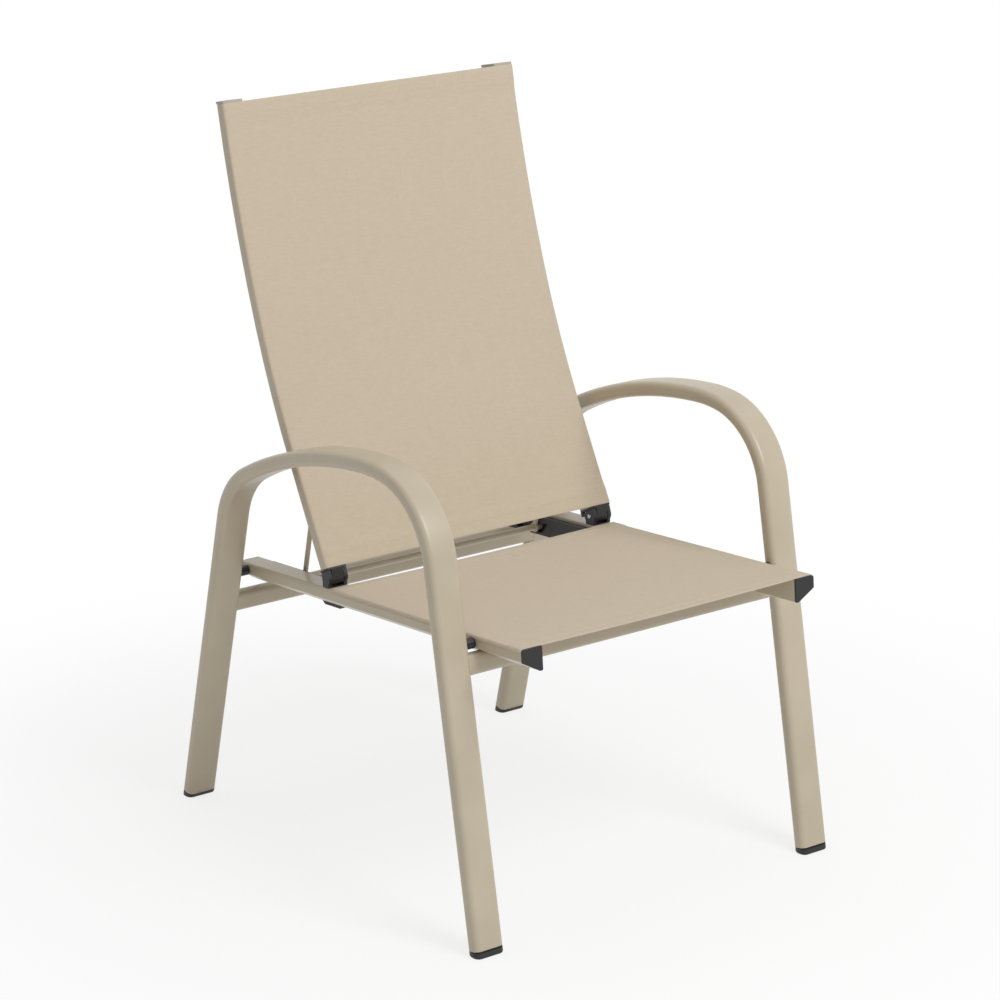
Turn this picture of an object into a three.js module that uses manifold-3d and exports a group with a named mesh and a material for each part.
// Sling patio armchair with a back that reclines on notched racks.
// Millimetres, Z up. X runs across the chair and the sitter faces -Y.
// The feet stand on z = 0, and the origin is under the middle of the chair.
import * as THREE from "three";
import { mergeVertices } from "three/addons/utils/BufferGeometryUtils.js";
import Module from "manifold-3d";

const wasm = await Module();
wasm.setup();

const degree = Math.PI / 180;

// Clearances
const fit = 0.3; // between pieces that touch
const overrun = 5; // of a cutter past what it cuts
const sameVertex = 0.001;

// Side frame: one oval tube bent into front leg, armrest and rear leg
const tubeWidth = 48;
const tubeDepth = 22.5;
const tubeCorner = 8.7;
const tubeWall = 1.5;
const frameHalfWidth = 292.7; // middle of the chair to middle of the tube
const frontLean = 10.84 * degree;
const frontLegLength = 537.2;
const handBend = { radius: 123.3, turn: 71.8 * degree, steps: 8 };
const crownBend = { radius: 231.5, turn: 10.9 * degree, steps: 2 };
const armBend = { radius: 709, turn: 25 * degree, steps: 5 };
const rearBendRadius = 118;
const rearBendSteps = 8;
const rearLean = 13.67 * degree;

// Feet: plugs pressed into the tube ends
const footHeight = 9;
const footEdge = 2;
const footStem = 24;
const footTaper = 0.6;

// Cross rails: flat oval tubes welded between the legs
const crossHeight = 30;
const crossDepth = 20;
const crossCorner = 7;
const crossWall = 1.5;
const frontCrossHeight = 387.2; // height of its middle
const rearCrossDrop = 47.2; // under the rear bolts
const crossBite = 8; // how far the coped ends reach round the leg

// Sling fabric and the round cord in its side hems
const fabric = 0.8;
const kederDiameter = 2.8;
const kederSlack = 0.2;

// Extruded rail that holds a sling, the same for seat and back
const railWidth = 32.4;
const railDepth = 33; // of its inner side
const railOuterDepth = 16.5;
const railFlat = 5; // flat strip under the inner side
const railCorner = 2.5;
const railEdge = 1.2;
const railWall = 1.6;

// Seat
const seatHeight = 434; // top of the fabric at the front edge
const seatHalfWidth = 256; // middle to the outer face of the fabric
const seatOverhang = 112.3; // ahead of the front leg, at seat height
const seatSlope = 4.6 * degree;
const seatTail = 15; // of the rails past the rear bolts
const seatSpreaderAt = 330; // along the seat from its front end
const spreaderDiameter = 19;
const spreaderWall = 1.5;

// End caps of the rails
const capFlange = 3;
const capPlug = 14;
const rearCapPlug = 8; // short of the rear bolts
const capFit = 0.35;
const topCapFlange = 3.5;

// Bolts and bushes that hang the seat between the legs
const boltDiameter = 5;
const boltMargin = 0.5; // metal between the keder channel and the bolt hole
const boltHeadDiameter = 10;
const boltHead = 3.2;
const nutDiameter = 7.2;
const nutLength = 7;
const bushDiameter = 15;
const bushNose = 9;

// Hinges of the back
const hingeToBolt = 201; // ahead of the rear bolts
const hingeRise = 13.1; // above the rail
const bracketFore = 17;
const bracketAft = 22;
const bracketBase = 3.5;
const cheekWidth = 6;
const cheekRadius = 8.6;
const tongueRadius = 8.3;
const tongueFit = 0.4;
const hingePinDiameter = 6;
const hingePinHead = 10;
const hingePinHeadLength = 2.2;
const slingToBracket = 0.6;

// Back
const backHalfWidth = 256; // middle to the outer face of the fabric
const backLean = 28 * degree; // of its lower, straight part
const backAhead = 15.1; // fabric face ahead of the hinge
const backClear = 0.5; // between the hinge cheeks and the plug that turns round them
const backStraight = 156;
const backLowBend = { radius: 1439, length: 200, steps: 4 };
const backTopBend = { radius: 2190, length: 315.8, steps: 5 };
const backSpreaderLowAt = 62; // along the rail
const backSpreaderTopDrop = 68.3; // under the rail's top end

// Prop that holds the back, and the range that it moves through
const propPivotUp = 152.2; // from the hinge, along the back
const propPivotDrop = 22.9; // behind the front of the back rail
const propLength = 178.6; // pivot to crossbar
const propBarWidth = 10;
const propBarThickness = 4;
const propAt = 210.5; // middle of the chair to middle of a bar
const propEyeDiameter = 15; // round the pivot
const propFootDiameter = 20; // round the crossbar
const pivotDiameter = 6;
const pivotCollar = 12;
const pivotHead = 2;
const pivotTail = 6;
const crossbarDiameter = 10;
const crossbarWall = 1.5;
const crossbarEnd = 0.7; // short of the rail behind the rack
const reclineRange = 10 * degree;
const reclineSteps = 4; // notches after the first

// Racks: slotted blocks on the inner sides of the seat rails
const rackThickness = 9;
const rackDrop = 4.5; // under the top of the rails
const rackFore = 7; // ahead of the hinge
const rackAft = 11.5; // past the rear end of the slot
const pinDrop = 22.85; // from the fabric plane to the crossbar
const slotAbove = 1; // over the crossbar
const toothBelow = 0.3; // under the crossbar
const notchDepth = 2.2;
const notchFore = 2; // flat of a notch ahead of the crossbar's middle
const notchAft = 3; // and behind it, up to the face that holds the crossbar
const toothFace = 1.5;
const toothFlat = 2;
const slotAft = 7; // past the crossbar at its last notch
const slotFore = 28; // ahead of the crossbar at its first notch
const slotFrontRise = 4;
const rampRun = 14.5;
const lobeFore = 5; // ahead of the hinge
const lobeLength = 56;
const lobeDrop = 13;
const lobeSlant = 9;
const rackEdge = 2;

// How round the round things are
const rodSides = 12;
const tubeSides = 16;
const cornerSteps = 3;
const loopSteps = 8;

// Sizes that follow from those above
const skin = fit + fabric; // fabric face to rail
const loopInner = kederDiameter / 2 + kederSlack;
const loopOuter = loopInner + fabric;
const channelRadius = loopOuter + fit;
const kederInset = railWall + channelRadius;
const kederDrop = railWall + channelRadius;
const hem = 2 * fabric;
const mouth = hem + 2 * fit;
const boltHole = boltDiameter + 2 * fit;
const boltDrop = kederDrop + channelRadius + boltMargin + boltHole / 2;
const seatRailOuter = seatHalfWidth - skin;
const seatRailInner = seatRailOuter - railWidth;
const backRailOuter = backHalfWidth - skin;
const backRailInner = backRailOuter - railWidth;
const legInner = frameHalfWidth - tubeWidth / 2;

// Finishes
function finish(color, roughness, metalness) {
  return new THREE.MeshStandardMaterial({ color, roughness, metalness });
}
const paint = finish("#b8ad99", 0.45, 0.25);
const fabricFinish = finish("#c9b9a4", 0.85, 0);
const cordFinish = finish("#9a8f80", 0.7, 0);
const blackPlastic = finish("#343436", 0.55, 0);
const capPlastic = finish("#a89d94", 0.6, 0);
const bareSteel = finish("#b9bcbf", 0.35, 0.9);

// Outlines

function circle(radius, sides, centre = new THREE.Vector2()) {
  const points = [];
  for (let i = 0; i < sides; i += 1) {
    const angle = (2 * Math.PI * (i + 1 / 2)) / sides;
    points.push(new THREE.Vector2(Math.cos(angle), Math.sin(angle)).multiplyScalar(radius).add(centre));
  }
  return points;
}

function arc(x, y, radius, from, to, steps) {
  const points = [];
  for (let i = 0; i <= steps; i += 1) {
    const angle = from + ((to - from) * i) / steps;
    points.push(new THREE.Vector2(x + radius * Math.cos(angle), y + radius * Math.sin(angle)));
  }
  return points;
}

function roundedRectangle(width, height, corner) {
  const x = width / 2 - corner;
  const y = height / 2 - corner;
  const quarter = Math.PI / 2;
  return [
    ...arc(x, y, corner, 0, quarter, cornerSteps),
    ...arc(-x, y, corner, quarter, 2 * quarter, cornerSteps),
    ...arc(-x, -y, corner, 2 * quarter, 3 * quarter, cornerSteps),
    ...arc(x, -y, corner, 3 * quarter, 4 * quarter, cornerSteps),
  ];
}

function hollowOval(width, height, corner, wall) {
  return {
    outline: roundedRectangle(width, height, corner),
    holes: [roundedRectangle(width - 2 * wall, height - 2 * wall, corner - wall)],
  };
}

function hollowRound(diameter, wall) {
  return { outline: circle(diameter / 2, tubeSides), holes: [circle(diameter / 2 - wall, tubeSides)] };
}

// Solids

function signedVolume(positions, index) {
  const corners = [new THREE.Vector3(), new THREE.Vector3(), new THREE.Vector3()];
  let sum = 0;
  for (let i = 0; i < index.length; i += 3) {
    corners.forEach((corner, k) => corner.fromArray(positions, 3 * index[i + k]));
    sum += corners[0].dot(corners[1].cross(corners[2]));
  }
  return sum;
}

// Carries loops of equal length through stations: stations[i] places the loops' 2-D points.
function loft(loops, stations) {
  const ring = loops.flat().length;
  const positions = stations.flat().flatMap((point) => point.toArray());
  const index = [];
  let start = 0;
  for (const loop of loops) {
    for (let s = 0; s < stations.length - 1; s += 1) {
      for (let i = 0; i < loop.length; i += 1) {
        const a = s * ring + start + i;
        const b = s * ring + start + ((i + 1) % loop.length);
        index.push(a, b, b + ring, a, b + ring, a + ring);
      }
    }
    start += loop.length;
  }
  const last = (stations.length - 1) * ring;
  for (const [a, b, c] of THREE.ShapeUtils.triangulateShape(loops[0], loops.slice(1))) {
    index.push(c, b, a);
    index.push(last + a, last + b, last + c);
  }
  if (signedVolume(positions, index) < 0) {
    index.reverse();
  }
  const geometry = new THREE.BufferGeometry();
  geometry.setAttribute("position", new THREE.Float32BufferAttribute(positions, 3));
  geometry.setIndex(index);
  geometry.computeVertexNormals();
  return geometry;
}

function turned(points, clockwise) {
  return THREE.ShapeUtils.isClockWise(points) === clockwise ? points : points.slice().reverse();
}

// Sweeps a section through frames: each matrix places the section's plane.
function sweep(section, frames) {
  const loops = [turned(section.outline, false), ...section.holes.map((hole) => turned(hole, true))];
  const flat = loops.flat();
  const stations = frames.map((frame) =>
    flat.map((point) => new THREE.Vector3(point.x, point.y, 0).applyMatrix4(frame)),
  );
  return loft(loops, stations);
}

const across = new THREE.Vector3(1, 0, 0);

// A prism across the chair: its section's coordinates are y and z.
function prism(outline, fromX, toX, holes = []) {
  const frames = [Math.min(fromX, toX), Math.max(fromX, toX)].map((x) =>
    new THREE.Matrix4()
      .makeBasis(new THREE.Vector3(0, 1, 0), new THREE.Vector3(0, 0, 1), across)
      .setPosition(x, 0, 0),
  );
  return sweep({ outline, holes }, frames);
}

function rod(radius, fromX, toX, y = 0, z = 0, sides = rodSides) {
  return prism(circle(radius, sides, new THREE.Vector2(y, z)), fromX, toX);
}

function box(size, centre) {
  return new THREE.BoxGeometry(size.x, size.y, size.z).translate(centre.x, centre.y, centre.z);
}

// A turned piece on an axis across the chair. Profile points are (distance across, radius).
function lathe(profile, side, sides = rodSides) {
  const points = profile.map(([x, radius]) => new THREE.Vector2(radius, x));
  const geometry = new THREE.LatheGeometry(points, sides).rotateZ((-side * Math.PI) / 2);
  if (signedVolume(geometry.attributes.position.array, geometry.index.array) < 0) {
    geometry.index.array.reverse();
  }
  return geometry;
}

function toSolid(geometry) {
  const bare = geometry.index ? geometry.toNonIndexed() : geometry.clone();
  bare.deleteAttribute("normal");
  bare.deleteAttribute("uv");
  const merged = mergeVertices(bare, sameVertex);
  return new wasm.Manifold(
    new wasm.Mesh({
      numProp: 3,
      vertProperties: merged.attributes.position.array,
      triVerts: new Uint32Array(merged.index.array),
    }),
  );
}

function toGeometry(solid) {
  const mesh = solid.getMesh();
  const geometry = new THREE.BufferGeometry();
  geometry.setAttribute("position", new THREE.BufferAttribute(new Float32Array(mesh.vertProperties), 3));
  geometry.setIndex(new THREE.BufferAttribute(new Uint32Array(mesh.triVerts), 1));
  const flat = geometry.toNonIndexed();
  flat.computeVertexNormals();
  return flat;
}

function cut(geometry, cutters) {
  return toGeometry(cutters.reduce((solid, cutter) => solid.subtract(toSolid(cutter)), toSolid(geometry)));
}

function join(geometries) {
  return toGeometry(geometries.map(toSolid).reduce((sum, solid) => sum.add(solid)));
}

function add(parent, name, geometry, material) {
  const mesh = new THREE.Mesh(geometry, material);
  mesh.name = name;
  parent.add(mesh);
  return mesh;
}

const sides = [
  { name: "left", sign: -1 },
  { name: "right", sign: 1 },
];

// Paths in the chair's side plane

// Walks straights and bends from a start: heading is measured from +y towards +z,
// and a positive turn bends the path down.
function walk(start, moves) {
  const path = [start];
  for (const move of moves) {
    const { y, z, heading } = path[path.length - 1];
    if (move.straight !== undefined) {
      path.push({
        y: y + move.straight * Math.cos(heading),
        z: z + move.straight * Math.sin(heading),
        heading,
      });
      continue;
    }
    const radius = Math.sign(move.turn) * move.radius;
    const centreY = y + radius * Math.sin(heading);
    const centreZ = z - radius * Math.cos(heading);
    for (let i = 1; i <= move.steps; i += 1) {
      const now = heading - (move.turn * i) / move.steps;
      path.push({ y: centreY - radius * Math.sin(now), z: centreZ + radius * Math.cos(now), heading: now });
    }
  }
  return path;
}

// A section's frame at a path point: section x runs across, section y points under the path.
function frameAt(point, x = 0) {
  const under = new THREE.Vector3(0, Math.sin(point.heading), -Math.cos(point.heading));
  const along = new THREE.Vector3(0, Math.cos(point.heading), Math.sin(point.heading));
  return new THREE.Matrix4().makeBasis(across, under, along).setPosition(x, point.y, point.z);
}

// Side frame path, from the front foot's place on the ground
const legStart = { y: 0, z: 0, heading: Math.PI / 2 - frontLean };
const armPath = walk(legStart, [{ straight: frontLegLength }, handBend, crownBend, armBend]);
const armEnd = armPath[armPath.length - 1];
const rearTurn = armEnd.heading + Math.PI / 2 - rearLean;
const bentPath = walk(armEnd, [{ radius: rearBendRadius, turn: rearTurn, steps: rearBendSteps }]);
const rearTop = bentPath[bentPath.length - 1];

// A leg's centreline as a line: y at a height z
const frontLeg = { y: 0, z: 0, run: Math.tan(frontLean), heading: legStart.heading };
const rearLeg = { y: rearTop.y, z: rearTop.z, run: -Math.tan(rearLean), heading: rearTop.heading };
const legs = { front: frontLeg, rear: rearLeg };

function legY(leg, z) {
  return leg.y + leg.run * (z - leg.z);
}

// A level cut through a leaning leg
function levelFrame(leg, z, x) {
  const level = new THREE.Vector3(0, 1 / Math.abs(Math.sin(leg.heading)), 0);
  const up = new THREE.Vector3(0, 0, 1);
  return new THREE.Matrix4().makeBasis(across, level, up).setPosition(x, legY(leg, z), z);
}

// The level frames face up, so the section of a downward leg is mirrored to match.
function sideFrames(x) {
  const middle = [...armPath.slice(1), ...bentPath.slice(1)];
  const up = levelFrame(frontLeg, footHeight, x);
  const down = levelFrame(rearLeg, footHeight, x).scale(new THREE.Vector3(1, -1, 1));
  return [up, ...middle.map((point) => frameAt(point, x)), down];
}

// A leg's outside grown by the fit, to cope what is welded or bolted against it
function legCutter(leg, sign) {
  const outline = roundedRectangle(tubeWidth + 2 * fit, tubeDepth + 2 * fit, tubeCorner + fit);
  const frames = [footHeight, seatHeight + crossHeight].map((z) => levelFrame(leg, z, sign * frameHalfWidth));
  return sweep({ outline, holes: [] }, frames);
}

// Seat plane: a point `along` from the front end and `up` from the fabric, in the chair's frame
const seatFrontY = legY(frontLeg, seatHeight) - seatOverhang;

function onSeat(along, up) {
  return {
    y: seatFrontY + along * Math.cos(seatSlope) + up * Math.sin(seatSlope),
    z: seatHeight - along * Math.sin(seatSlope) + up * Math.cos(seatSlope),
  };
}

// Where a line under the fabric crosses a leg's centreline, along the seat
function alongSeatAtLeg(leg, up) {
  const start = onSeat(0, up);
  const gap = legY(leg, start.z) - start.y;
  return gap / (Math.cos(seatSlope) + leg.run * Math.sin(seatSlope));
}

const boltUp = -skin - boltDrop;
const boltAt = { front: alongSeatAtLeg(frontLeg, boltUp), rear: alongSeatAtLeg(rearLeg, boltUp) };
const seatRailStart = capFlange + fit;
const seatRailEnd = boltAt.rear + seatTail;
const hingeAt = boltAt.rear - hingeToBolt;

// Sections of rail and sling. Their first coordinate runs in from the rail's outer face,
// their second down from its top.

const mouthAngle = Math.asin(mouth / 2 / channelRadius);
const hemAngle = Math.asin(hem / 2 / loopOuter);
const undersideSlope = Math.atan2(railDepth - railOuterDepth, railWidth - railFlat);

// Outline without the keder channel, grown outwards by a share of the fabric on each face
function railOutline(grow) {
  return [
    new THREE.Vector2(-grow, railOuterDepth + grow / 2),
    ...arc(railCorner, railCorner, railCorner + grow, Math.PI, 1.5 * Math.PI, cornerSteps),
    new THREE.Vector2(railWidth - railEdge, -grow),
    new THREE.Vector2(railWidth, railEdge - grow),
    new THREE.Vector2(railWidth, railDepth - railEdge),
    new THREE.Vector2(railWidth - railEdge, railDepth),
    new THREE.Vector2(railWidth - railFlat, railDepth),
  ];
}

function railChamber(inset) {
  const wall = railWall + inset;
  const underside = railOuterDepth - wall / Math.cos(undersideSlope);
  const left = wall;
  const shelf = kederDrop + channelRadius + wall;
  const step = kederInset + channelRadius + wall;
  const floor = railDepth - wall;
  return [
    new THREE.Vector2(left, underside + left * Math.tan(undersideSlope)),
    new THREE.Vector2(left, shelf),
    new THREE.Vector2(step, shelf),
    new THREE.Vector2(step, wall),
    new THREE.Vector2(railWidth - wall, wall),
    new THREE.Vector2(railWidth - wall, floor),
    new THREE.Vector2((floor - underside) / Math.tan(undersideSlope), floor),
  ];
}

function railSection() {
  const [foot, ...rest] = railOutline(0);
  const channel = arc(
    kederInset,
    kederDrop,
    channelRadius,
    Math.PI - mouthAngle,
    mouthAngle - Math.PI,
    loopSteps,
  );
  return {
    outline: [
      foot,
      new THREE.Vector2(0, kederDrop + mouth / 2),
      ...channel,
      new THREE.Vector2(0, kederDrop - mouth / 2),
      ...rest,
    ],
    holes: [railChamber(0)],
  };
}

// Moves a section out to a side of the chair
function toSide(points, sign, outer) {
  return points.map((point) => new THREE.Vector2(sign * (outer - point.x), point.y));
}

function sectionToSide(section, sign, outer) {
  return {
    outline: toSide(section.outline, sign, outer),
    holes: section.holes.map((hole) => toSide(hole, sign, outer)),
  };
}

// One side of a sling: over the rail's corner, into the mouth and round the cord
function slingSide() {
  const outside = arc(railCorner, railCorner, railCorner + skin, 1.5 * Math.PI, Math.PI, cornerSteps);
  const loop = arc(kederInset, kederDrop, loopOuter, Math.PI - hemAngle, hemAngle - Math.PI, loopSteps);
  const inside = arc(railCorner, railCorner, railCorner + fit, Math.PI, 1.5 * Math.PI, cornerSteps);
  return [
    ...outside,
    new THREE.Vector2(-skin, kederDrop + hem / 2),
    ...loop,
    new THREE.Vector2(-fit, kederDrop - hem / 2),
    ...inside,
  ];
}

function slingSection(outer) {
  const right = toSide(slingSide(), 1, outer);
  const left = toSide(slingSide(), -1, outer).reverse();
  const eye = circle(loopInner, loopSteps, new THREE.Vector2(kederInset, kederDrop));
  return { outline: [...right, ...left], holes: [toSide(eye, 1, outer), toSide(eye, -1, outer)] };
}

function kederSection(sign, outer) {
  const centre = new THREE.Vector2(kederInset, kederDrop);
  return { outline: toSide(circle(kederDiameter / 2, loopSteps, centre), sign, outer), holes: [] };
}

// A closed end for a rail: a flange over the section and a plug in its chamber.
// The flange lies from `at` to `at` + flange along the frames, and the plug on the side of `way`.
function endCap(placeAt, { at, flange, way, plug, grow }, sign, outer) {
  const plugStart = way > 0 ? at + flange - fit : at + fit;
  const parts = [
    sweep({ outline: toSide(railOutline(grow), sign, outer), holes: [] }, [placeAt(at), placeAt(at + flange)]),
    sweep({ outline: toSide(railChamber(capFit), sign, outer), holes: [] }, [
      placeAt(Math.min(plugStart, plugStart + way * (plug + fit))),
      placeAt(Math.max(plugStart, plugStart + way * (plug + fit))),
    ]),
  ];
  return join(parts);
}

const chair = new THREE.Group();

// Side frames, their feet and the cross rails between them

const legBoltAt = {};
for (const end of ["front", "rear"]) {
  legBoltAt[end] = onSeat(boltAt[end], boltUp);
}

for (const { name, sign } of sides) {
  const x = sign * frameHalfWidth;
  const tube = sweep(hollowOval(tubeWidth, tubeDepth, tubeCorner, tubeWall), sideFrames(x));
  const holes = ["front", "rear"].map((end) =>
    rod(
      boltHole / 2,
      sign * (legInner - overrun),
      sign * (legInner + overrun),
      legBoltAt[end].y,
      legBoltAt[end].z,
    ),
  );
  add(chair, `side_frame_${name}`, cut(tube, holes), paint);
}

// A foot's loft: rounded edge, flange under the tube, then a stem up the leaning bore
function foot(leg, sign) {
  const x = sign * frameHalfWidth;
  const whole = roundedRectangle(tubeWidth, tubeDepth, tubeCorner);
  const insetBy = (inset) =>
    roundedRectangle(tubeWidth - 2 * inset, tubeDepth - 2 * inset, tubeCorner - inset);
  const rings = [
    { z: 0, points: insetBy(footEdge) },
    { z: footEdge / 3, points: insetBy(footEdge / 3) },
    { z: footEdge, points: whole },
    { z: footHeight - fit, points: whole },
    { z: footHeight - fit, points: insetBy(tubeWall + fit) },
    { z: footHeight + footStem, points: insetBy(tubeWall + fit + footTaper) },
  ];
  const stations = rings.map(({ z, points }) =>
    points.map((point) => new THREE.Vector3(point.x, point.y, 0).applyMatrix4(levelFrame(leg, z, x))),
  );
  return loft([whole], stations);
}

for (const { name, sign } of sides) {
  for (const [end, leg] of Object.entries(legs)) {
    add(chair, `foot_${end}_${name}`, foot(leg, sign), blackPlastic);
  }
}

// A cross rail's section on its leg's centreline, leaning with the leg
function onLeg(points, leg, z) {
  const centre = new THREE.Vector2(legY(leg, z), z);
  return points.map((point) => point.clone().add(centre).rotateAround(centre, -Math.atan(leg.run)));
}

// A cross rail runs past the legs' inner faces and is coped round them.
function crossRail(leg, z) {
  const { outline, holes } = hollowOval(crossDepth, crossHeight, crossCorner, crossWall);
  const half = legInner + crossBite;
  const bar = prism(onLeg(outline, leg, z), -half, half, holes.map((hole) => onLeg(hole, leg, z)));
  return cut(bar, [legCutter(leg, -1), legCutter(leg, 1)]);
}

add(chair, "front_cross_rail", crossRail(frontLeg, frontCrossHeight), paint);
add(chair, "rear_cross_rail", crossRail(rearLeg, legBoltAt.rear.z - rearCrossDrop), paint);

// Seat, in a frame whose y runs down the seat from its front end and whose z = 0 is the fabric

const seat = new THREE.Group();
seat.position.set(0, seatFrontY, seatHeight);
seat.rotation.x = -seatSlope;
seat.updateMatrix();
chair.add(seat);
const toSeat = seat.matrix.clone().invert();

function seatPlace(along) {
  return frameAt({ y: along, z: -skin, heading: 0 });
}

const hingeUp = hingeRise - skin;
const slingEnd = hingeAt - bracketFore - slingToBracket;

// The cross rail's outside, grown by the fit: the rails are notched over it.
function crossRailCutter(sign) {
  const outline = roundedRectangle(crossDepth + 2 * fit, crossHeight + 2 * fit, crossCorner + fit);
  return prism(
    onLeg(outline, frontLeg, frontCrossHeight),
    sign * (seatRailInner - overrun),
    sign * (seatRailOuter + overrun),
  ).applyMatrix4(toSeat);
}

for (const { name, sign } of sides) {
  const section = sectionToSide(railSection(), sign, seatRailOuter);
  const rail = sweep(section, [seatPlace(seatRailStart), seatPlace(seatRailEnd)]);
  const holes = Object.values(boltAt).map((along) =>
    rod(
      boltHole / 2,
      sign * (seatRailInner - overrun),
      sign * (seatRailOuter + overrun),
      along,
      boltUp,
    ),
  );
  add(seat, `seat_rail_${name}`, cut(rail, [...holes, crossRailCutter(sign)]), paint);

  const frontCap = { at: 0, flange: capFlange, way: 1, plug: capPlug, grow: skin };
  const rearCap = { at: seatRailEnd + fit, flange: capFlange, way: -1, plug: rearCapPlug, grow: 0 };
  add(seat, `seat_front_cap_${name}`, endCap(seatPlace, frontCap, sign, seatRailOuter), blackPlastic);
  add(seat, `seat_rear_cap_${name}`, endCap(seatPlace, rearCap, sign, seatRailOuter), capPlastic);
  add(
    seat,
    `seat_keder_${name}`,
    sweep(kederSection(sign, seatRailOuter), [seatPlace(seatRailStart), seatPlace(slingEnd)]),
    cordFinish,
  );
}

add(
  seat,
  "seat_sling",
  sweep(slingSection(seatRailOuter), [seatPlace(seatRailStart), seatPlace(slingEnd)]),
  fabricFinish,
);

// A round spreader between two rails, in the plane of the rails
function spreader(half, y, z) {
  const { outline, holes } = hollowRound(spreaderDiameter, spreaderWall);
  return prism(outline, -half, half, holes).translate(0, y, z);
}

add(
  seat,
  "seat_spreader",
  spreader(seatRailInner - fit, seatSpreaderAt, -skin - railDepth / 2),
  paint,
);

// Bushes and bolts between rail and leg

function bush(leg, along, sign) {
  const bore = boltDiameter / 2 + fit;
  const nose = seatRailOuter + fit;
  const shoulder = seatHalfWidth + fit;
  const reach = legInner + crossBite;
  const body = lathe(
    [
      [nose, bore],
      [nose, bushNose / 2],
      [shoulder, bushNose / 2],
      [shoulder, bushDiameter / 2],
      [reach, bushDiameter / 2],
      [reach, bore],
      [nose, bore],
    ],
    sign,
    tubeSides,
  ).translate(0, along, boltUp);
  return cut(body, [legCutter(leg, sign).applyMatrix4(toSeat)]);
}

// The bolt goes in from the inner side of the rail and ends in a nut fixed in the leg.
function bolt(sign) {
  const face = seatRailInner - fit;
  const nut = legInner + tubeWall + fit;
  return lathe(
    [
      [face - boltHead, 0],
      [face - boltHead, boltHeadDiameter / 4],
      [face - boltHead / 2, boltHeadDiameter / 2],
      [face, boltHeadDiameter / 2],
      [face, boltDiameter / 2],
      [nut, boltDiameter / 2],
      [nut, nutDiameter / 2],
      [nut + nutLength, nutDiameter / 2],
      [nut + nutLength, 0],
    ],
    sign,
  );
}

for (const { name, sign } of sides) {
  for (const [end, leg] of Object.entries(legs)) {
    add(seat, `seat_bush_${end}_${name}`, bush(leg, boltAt[end], sign), blackPlastic);
    add(seat, `seat_bolt_${end}_${name}`, bolt(sign).translate(0, boltAt[end], boltUp), bareSteel);
  }
}

// Hinge brackets and their pins

const bracketOuter = seatRailOuter;
const tongueFrom = seatRailInner + cheekWidth + tongueFit;
const tongueTo = bracketOuter - cheekWidth - tongueFit;
const hingeBore = hingePinDiameter / 2 + fit;

function hingeBracket(sign) {
  const bottom = -skin + fit - hingeUp;
  const top = bottom + bracketBase;
  const outline = [
    new THREE.Vector2(-bracketFore, bottom),
    new THREE.Vector2(bracketAft, bottom),
    new THREE.Vector2(bracketAft, top),
    new THREE.Vector2(cheekRadius + bracketBase, top),
    ...arc(0, 0, cheekRadius, 0, Math.PI, rodSides),
    new THREE.Vector2(-cheekRadius - bracketBase, top),
    new THREE.Vector2(-bracketFore, top),
  ];
  const block = prism(outline, sign * seatRailInner, sign * bracketOuter);
  const slotWidth = bracketOuter - seatRailInner - 2 * cheekWidth;
  const slotTop = cheekRadius + overrun;
  const slot = box(
    new THREE.Vector3(slotWidth, bracketFore + bracketAft + overrun, slotTop - top),
    new THREE.Vector3((sign * (seatRailInner + bracketOuter)) / 2, 0, (slotTop + top) / 2),
  );
  const bore = rod(hingeBore, sign * (seatRailInner - overrun), sign * (bracketOuter + overrun));
  return cut(block, [slot, bore]).translate(0, hingeAt, hingeUp);
}

function hingePin(sign) {
  const inner = seatRailInner - fit;
  const outer = bracketOuter + fit;
  return lathe(
    [
      [inner - hingePinHeadLength, 0],
      [inner - hingePinHeadLength, hingePinHead / 4],
      [inner - hingePinHeadLength / 2, hingePinHead / 2],
      [inner, hingePinHead / 2],
      [inner, hingePinDiameter / 2],
      [outer, hingePinDiameter / 2],
      [outer, hingePinHead / 2],
      [outer + hingePinHeadLength, hingePinHead / 2],
      [outer + hingePinHeadLength, 0],
    ],
    sign,
  ).translate(0, hingeAt, hingeUp);
}

for (const { name, sign } of sides) {
  add(seat, `hinge_bracket_${name}`, hingeBracket(sign), blackPlastic);
  add(seat, `hinge_pin_${name}`, hingePin(sign), bareSteel);
}

// Back, in a frame at the hinge whose z runs up its straight part and whose y points behind it

const hinge = onSeat(hingeAt, hingeUp);
const back = new THREE.Group();
back.position.set(0, hinge.y, hinge.z);
back.rotation.x = -backLean;
chair.add(back);

const plugBottom = cheekRadius + backClear;
const backRailStart = plugBottom + capFlange + fit;
const backTop = -backAhead + skin; // y of the rail's front face

function backBend({ radius, length, steps }) {
  return { radius, turn: -length / radius, steps };
}

const backPath = walk({ y: backTop, z: backRailStart, heading: Math.PI / 2 }, [
  { straight: backStraight },
  backBend(backLowBend),
  backBend(backTopBend),
]);
const backEnd = backPath[backPath.length - 1];
const backLength = backStraight + backLowBend.length + backTopBend.length;

// The frame at a length along a straight run that starts at a path point
function straightFrom(point) {
  return (along) =>
    frameAt({
      y: point.y + along * Math.cos(point.heading),
      z: point.z + along * Math.sin(point.heading),
      heading: point.heading,
    });
}

// A point of the back's curve by its length along the rail, and how far it lies behind the front face
function alongBack(length, behind) {
  const lowLength = Math.min(Math.max(length - backStraight, 0), backLowBend.length);
  const topLength = Math.max(length - backStraight - backLowBend.length, 0);
  const moves = [
    { straight: Math.min(length, backStraight) },
    { radius: backLowBend.radius, turn: -lowLength / backLowBend.radius, steps: 1 },
    { radius: backTopBend.radius, turn: -topLength / backTopBend.radius, steps: 1 },
  ];
  const path = walk(backPath[0], moves);
  const { y, z, heading } = path[path.length - 1];
  return { y: y + behind * Math.sin(heading), z: z - behind * Math.cos(heading) };
}

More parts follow.
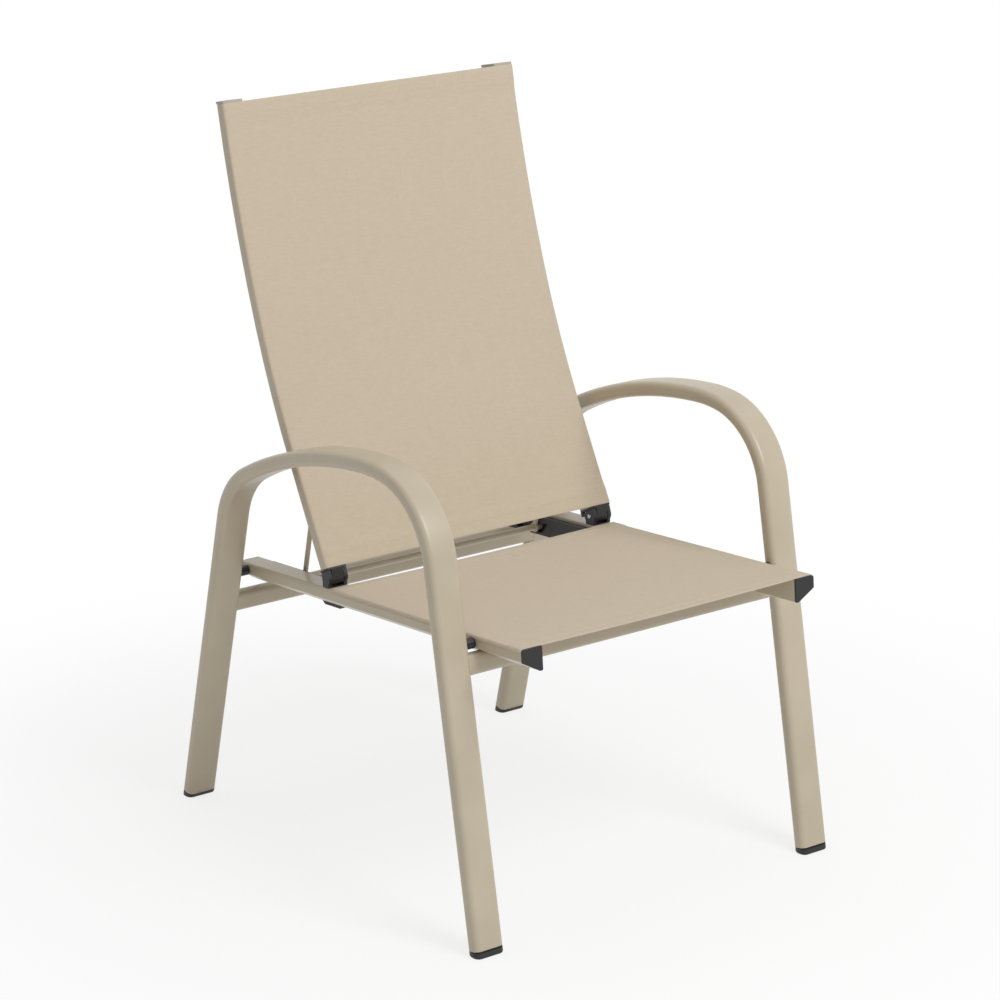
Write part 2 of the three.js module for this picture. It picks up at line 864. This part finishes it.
// Prop pivot in the back's frame and the chair's frame
const pivot = { y: backTop + propPivotDrop, z: propPivotUp };

function fromBack({ y, z }, recline) {
  const lean = backLean + recline;
  return {
    y: hinge.y + y * Math.cos(lean) + z * Math.sin(lean),
    z: hinge.z - y * Math.sin(lean) + z * Math.cos(lean),
  };
}

// The crossbar's place along the seat when the back is reclined by an angle: where a circle
// round the prop pivot crosses the line of the crossbar
function crossbarAlong(recline) {
  const place = fromBack(pivot, recline);
  const line = onSeat(0, -pinDrop);
  const along = (place.y - line.y) * Math.cos(seatSlope) - (place.z - line.z) * Math.sin(seatSlope);
  const height = (place.y - line.y) * Math.sin(seatSlope) + (place.z - line.z) * Math.cos(seatSlope);
  return along + Math.sqrt(propLength ** 2 - height ** 2);
}

// How far the prop leans from upright, its foot behind its pivot
function propLean(recline) {
  const place = fromBack(pivot, recline);
  const foot = onSeat(crossbarAlong(recline), -pinDrop);
  return Math.atan2(foot.y - place.y, place.z - foot.z);
}

const restLean = propLean(0);
const propRatio = (propLean(reclineRange) - restLean + reclineRange) / reclineRange;
const notches = [];
for (let i = 0; i <= reclineSteps; i += 1) {
  notches.push(crossbarAlong((reclineRange * i) / reclineSteps));
}

for (const { name, sign } of sides) {
  const section = sectionToSide(railSection(), sign, backRailOuter);
  const rail = sweep(section, backPath.map((point) => frameAt(point)));
  const pivotHole = rod(
    pivotDiameter / 2 + fit,
    sign * (backRailInner - overrun),
    sign * (backRailInner + overrun),
    pivot.y,
    pivot.z,
  );
  add(back, `back_rail_${name}`, cut(rail, [pivotHole]), paint);

  const topCap = { at: fit, flange: topCapFlange, way: -1, plug: capPlug, grow: skin };
  add(back, `back_top_cap_${name}`, endCap(straightFrom(backEnd), topCap, sign, backRailOuter), capPlastic);
  add(
    back,
    `back_keder_${name}`,
    sweep(kederSection(sign, backRailOuter), backPath.map((point) => frameAt(point))),
    cordFinish,
  );
}

// The plug in the foot of a back rail carries the tongue that turns between the cheeks.
function hingePlug(sign) {
  const place = straightFrom(backPath[0]);
  const ends = { at: -capFlange - fit, flange: capFlange, way: 1, plug: capPlug, grow: skin };
  const cap = endCap(place, ends, sign, backRailOuter);
  const outline = [
    ...arc(0, 0, tongueRadius, Math.PI, 2 * Math.PI, rodSides),
    new THREE.Vector2(tongueRadius, plugBottom + fit),
    new THREE.Vector2(-backAhead + fit, plugBottom + fit),
  ];
  const tongue = prism(outline, sign * tongueFrom, sign * tongueTo);
  const bore = rod(hingeBore, sign * (tongueFrom - overrun), sign * (tongueTo + overrun));
  return cut(join([cap, tongue]), [bore]);
}

for (const { name, sign } of sides) {
  add(back, `back_hinge_plug_${name}`, hingePlug(sign), blackPlastic);
}

add(
  back,
  "back_sling",
  sweep(slingSection(backRailOuter), backPath.map((point) => frameAt(point))),
  fabricFinish,
);

for (const [name, along] of [
  ["lower", backSpreaderLowAt],
  ["upper", backLength - backSpreaderTopDrop],
]) {
  const place = alongBack(along, railDepth / 2);
  add(back, `back_spreader_${name}`, spreader(backRailInner - fit, place.y, place.z), paint);
}

// A shouldered rivet: tail in the rail, collar to the bar, shank through its eye, then a head
function propPivot(sign) {
  const bar = propAt + propBarThickness / 2 + fit;
  const head = propAt - propBarThickness / 2 - fit;
  return lathe(
    [
      [head - pivotHead, 0],
      [head - pivotHead, pivotCollar / 2],
      [head, pivotCollar / 2],
      [head, pivotDiameter / 2],
      [bar, pivotDiameter / 2],
      [bar, pivotCollar / 2],
      [backRailInner - fit, pivotCollar / 2],
      [backRailInner - fit, pivotDiameter / 2],
      [backRailInner + pivotTail, pivotDiameter / 2],
      [backRailInner + pivotTail, 0],
    ],
    sign,
    tubeSides,
  ).translate(0, pivot.y, pivot.z);
}

for (const { name, sign } of sides) {
  add(back, `prop_pivot_${name}`, propPivot(sign), bareSteel);
}

// Prop, in a frame at its pivot whose -z runs down to the crossbar

const prop = new THREE.Group();
prop.position.set(0, pivot.y, pivot.z);
prop.rotation.x = restLean + backLean;
back.add(prop);

// A flat bar with an eye at each end
function propArm(sign) {
  const half = propBarWidth / 2;
  const top = propEyeDiameter / 2;
  const foot = propFootDiameter / 2;
  const topNeck = Math.asin(half / top);
  const footNeck = Math.asin(half / foot);
  const quarter = Math.PI / 2;
  const outline = [
    ...arc(0, 0, top, topNeck - quarter, 3 * quarter - topNeck, rodSides),
    ...arc(0, -propLength, foot, quarter + footNeck, 5 * quarter - footNeck, rodSides),
  ];
  const holes = [
    circle(pivotDiameter / 2 + fit, rodSides),
    circle(crossbarDiameter / 2 + fit, rodSides, new THREE.Vector2(0, -propLength)),
  ];
  const inner = propAt - propBarThickness / 2;
  return prism(outline, sign * inner, sign * (inner + propBarThickness), holes);
}

for (const { name, sign } of sides) {
  add(prop, `prop_arm_${name}`, propArm(sign), paint);
}

const crossbar = hollowRound(crossbarDiameter, crossbarWall);
const crossbarHalf = seatRailInner - crossbarEnd;
add(
  prop,
  "prop_crossbar",
  prism(crossbar.outline, -crossbarHalf, crossbarHalf, crossbar.holes).translate(0, 0, -propLength),
  paint,
);

// Racks, in the seat's frame: a slot for the crossbar with a notch for each position of the back

const firstNotch = notches[0];
const lastNotch = notches[notches.length - 1];

function rackSlot() {
  const top = -pinDrop + crossbarDiameter / 2 + slotAbove;
  const tip = -pinDrop - crossbarDiameter / 2 - toothBelow;
  const floor = tip - notchDepth;
  const front = firstNotch - slotFore;
  const rear = lastNotch + slotAft;
  const points = [
    new THREE.Vector2(front, top + slotFrontRise),
    new THREE.Vector2(front + rampRun, top),
    new THREE.Vector2(rear - rackEdge, top),
    new THREE.Vector2(rear, top - rackEdge),
    new THREE.Vector2(rear, tip),
  ];
  for (const notch of notches.slice().reverse()) {
    points.push(new THREE.Vector2(notch + notchAft + toothFace, tip));
    points.push(new THREE.Vector2(notch + notchAft, floor));
    if (notch !== firstNotch) {
      const pitch = notch - notches[notches.indexOf(notch) - 1];
      points.push(new THREE.Vector2(notch - notchFore, floor));
      points.push(new THREE.Vector2(notch - pitch + notchAft + toothFace + toothFlat, tip));
    }
  }
  points.push(new THREE.Vector2(front + rampRun, floor));
  points.push(new THREE.Vector2(front, floor + rampRun));
  return points;
}

function rack(sign) {
  const top = -skin - rackDrop;
  const bottom = -skin - railDepth;
  const front = hingeAt - rackFore;
  const rear = lastNotch + slotAft + rackAft;
  const lobeFront = hingeAt + lobeFore;
  const lobeRear = lobeFront + lobeLength;
  const outline = [
    new THREE.Vector2(front, top),
    new THREE.Vector2(front, bottom + rackEdge),
    new THREE.Vector2(front + rackEdge, bottom),
    new THREE.Vector2(lobeFront, bottom),
    new THREE.Vector2(lobeFront + lobeSlant, bottom - lobeDrop),
    new THREE.Vector2(lobeRear - lobeSlant, bottom - lobeDrop),
    new THREE.Vector2(lobeRear, bottom),
    new THREE.Vector2(rear - rackEdge, bottom),
    new THREE.Vector2(rear, bottom + rackEdge),
    new THREE.Vector2(rear, top),
  ];
  const face = seatRailInner - fit;
  return prism(outline, sign * face, sign * (face - rackThickness), [rackSlot()]);
}

for (const { name, sign } of sides) {
  add(seat, `recline_rack_${name}`, rack(sign), blackPlastic);
}

// What the moving groups do: the back leans back, and the prop swings under it in step.
back.userData = { axis: "-x", range: reclineRange };
prop.userData = { axis: "+x", follows: "back", ratio: propRatio };

// The origin lies under the middle of the chair's box.
const extent = new THREE.Box3().setFromObject(chair, true);
chair.position.y = -(extent.min.y + extent.max.y) / 2;

const slingChair = new THREE.Group();
slingChair.name = "sling_patio_chair";
slingChair.add(chair);

export default slingChair;
